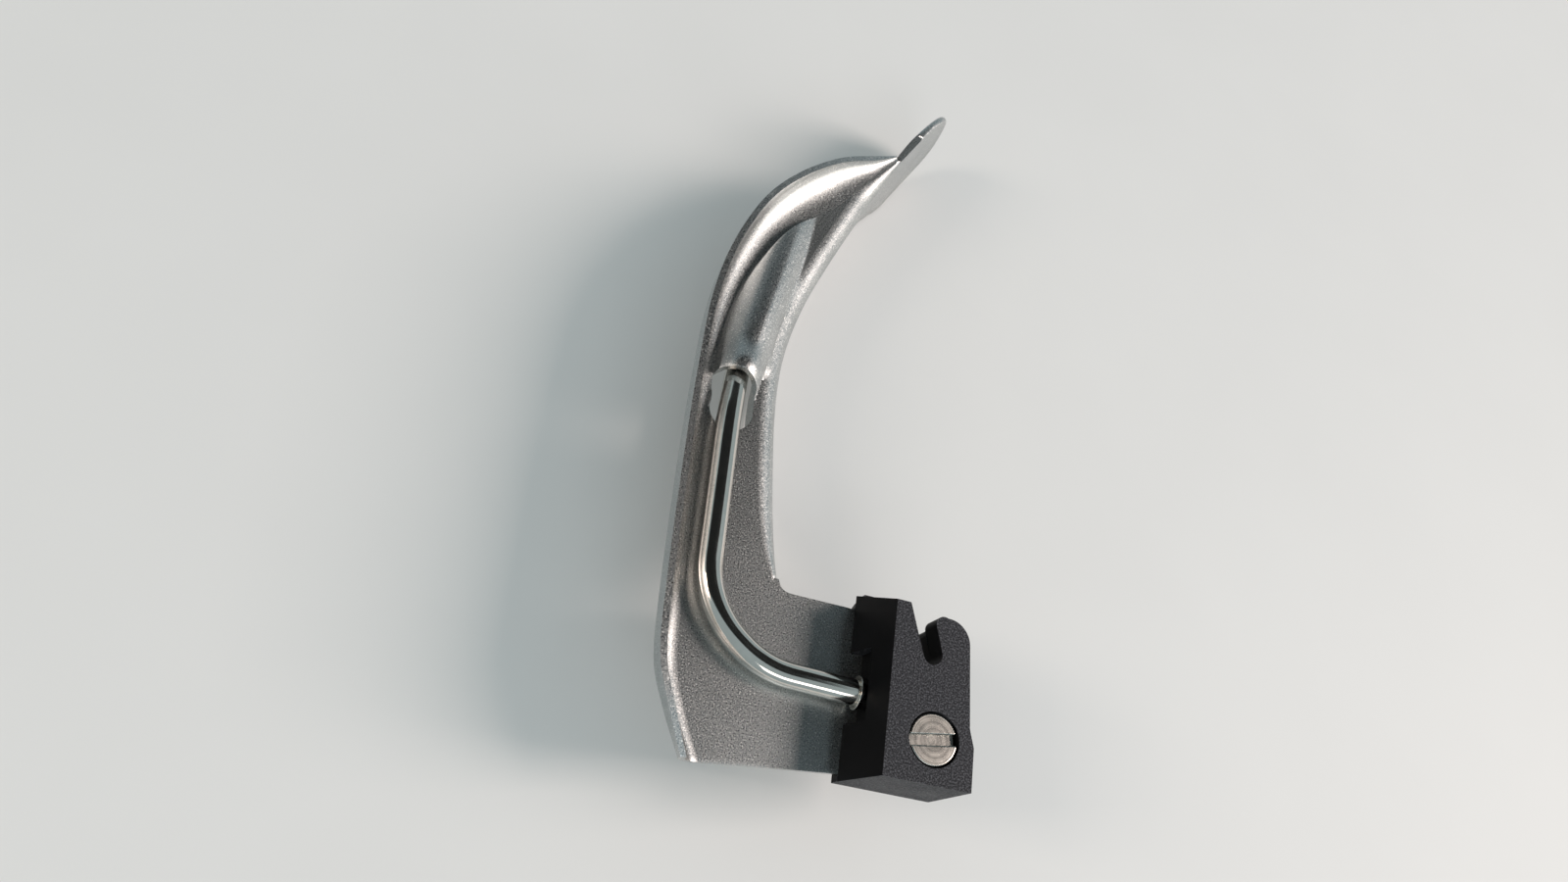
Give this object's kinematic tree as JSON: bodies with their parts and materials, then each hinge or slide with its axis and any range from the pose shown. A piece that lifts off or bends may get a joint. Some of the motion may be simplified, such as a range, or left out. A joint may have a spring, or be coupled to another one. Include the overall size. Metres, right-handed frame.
{
  "type": "laryngoscope blade",
  "caption": "Curved fibre-optic laryngoscope blade: stamped steel spatula and flange, bent light tube, and a black moulded hook-on block with a clamp screw.",
  "frame": {"origin": "centre of the hook's pin seat, at the middle of the block's width", "axes": "+X towards the handle, +Y along the blade towards its tip, +Z along the hook's pin axis, to the blade's left side"},
  "size_m": [0.0484, 0.1318, 0.0275],
  "materials": {
    "blade_steel": "polished, with a satin tumbled web",
    "tube_steel": "polished stainless tube",
    "turned_steel": "turned, with fine concentric marks",
    "ball_steel": "mirror",
    "spring_steel": "drawn wire",
    "black_nylon": "fine moulded grain",
    "glass_fibre": "ground and polished fibre ends",
    "clear_resin": "cured epoxy"
  },
  "bodies": {
    "blade": {"blade_sheet": "blade_steel", "heel_block": "black_nylon", "heel_cover": "black_nylon", "screw_insert": "turned_steel", "detent_sleeve": "turned_steel", "detent_spring": "spring_steel", "locating_pins": "turned_steel", "light_tube": "tube_steel", "fibre_bundle": "glass_fibre", "inlet_ferrule": "tube_steel", "outlet_ferrule": "tube_steel", "bundle_potting": "clear_resin", "tube_collar": "tube_steel"},
    "washer": {"screw_washer": "turned_steel"},
    "screw": {"heel_screw": "turned_steel"},
    "ball": {"detent_ball": "ball_steel"}
  },
  "joints": [
    {"name": "washer_lift", "type": "slide", "parent": "blade", "child": "washer", "axis": [0, 0, 1], "range_m": [0, 0.0049]},
    {"name": "screw_turn", "type": "hinge", "parent": "washer", "child": "screw", "pos_m": [0.0012, -0.0121, 0], "axis": [0, 0, 1], "range_deg": [0, 2525]},
    {"name": "ball_press", "type": "slide", "parent": "blade", "child": "ball", "axis": [0, 0, 1], "range_m": [0, 0.0007], "stiffness_N_per_m": 1500, "springref_m": -0.001, "deforming": ["detent_spring"]}
  ],
  "couplings": [
    {"joint": "screw_turn", "follows": "washer_lift", "rad_per_m": 8976}
  ]
}
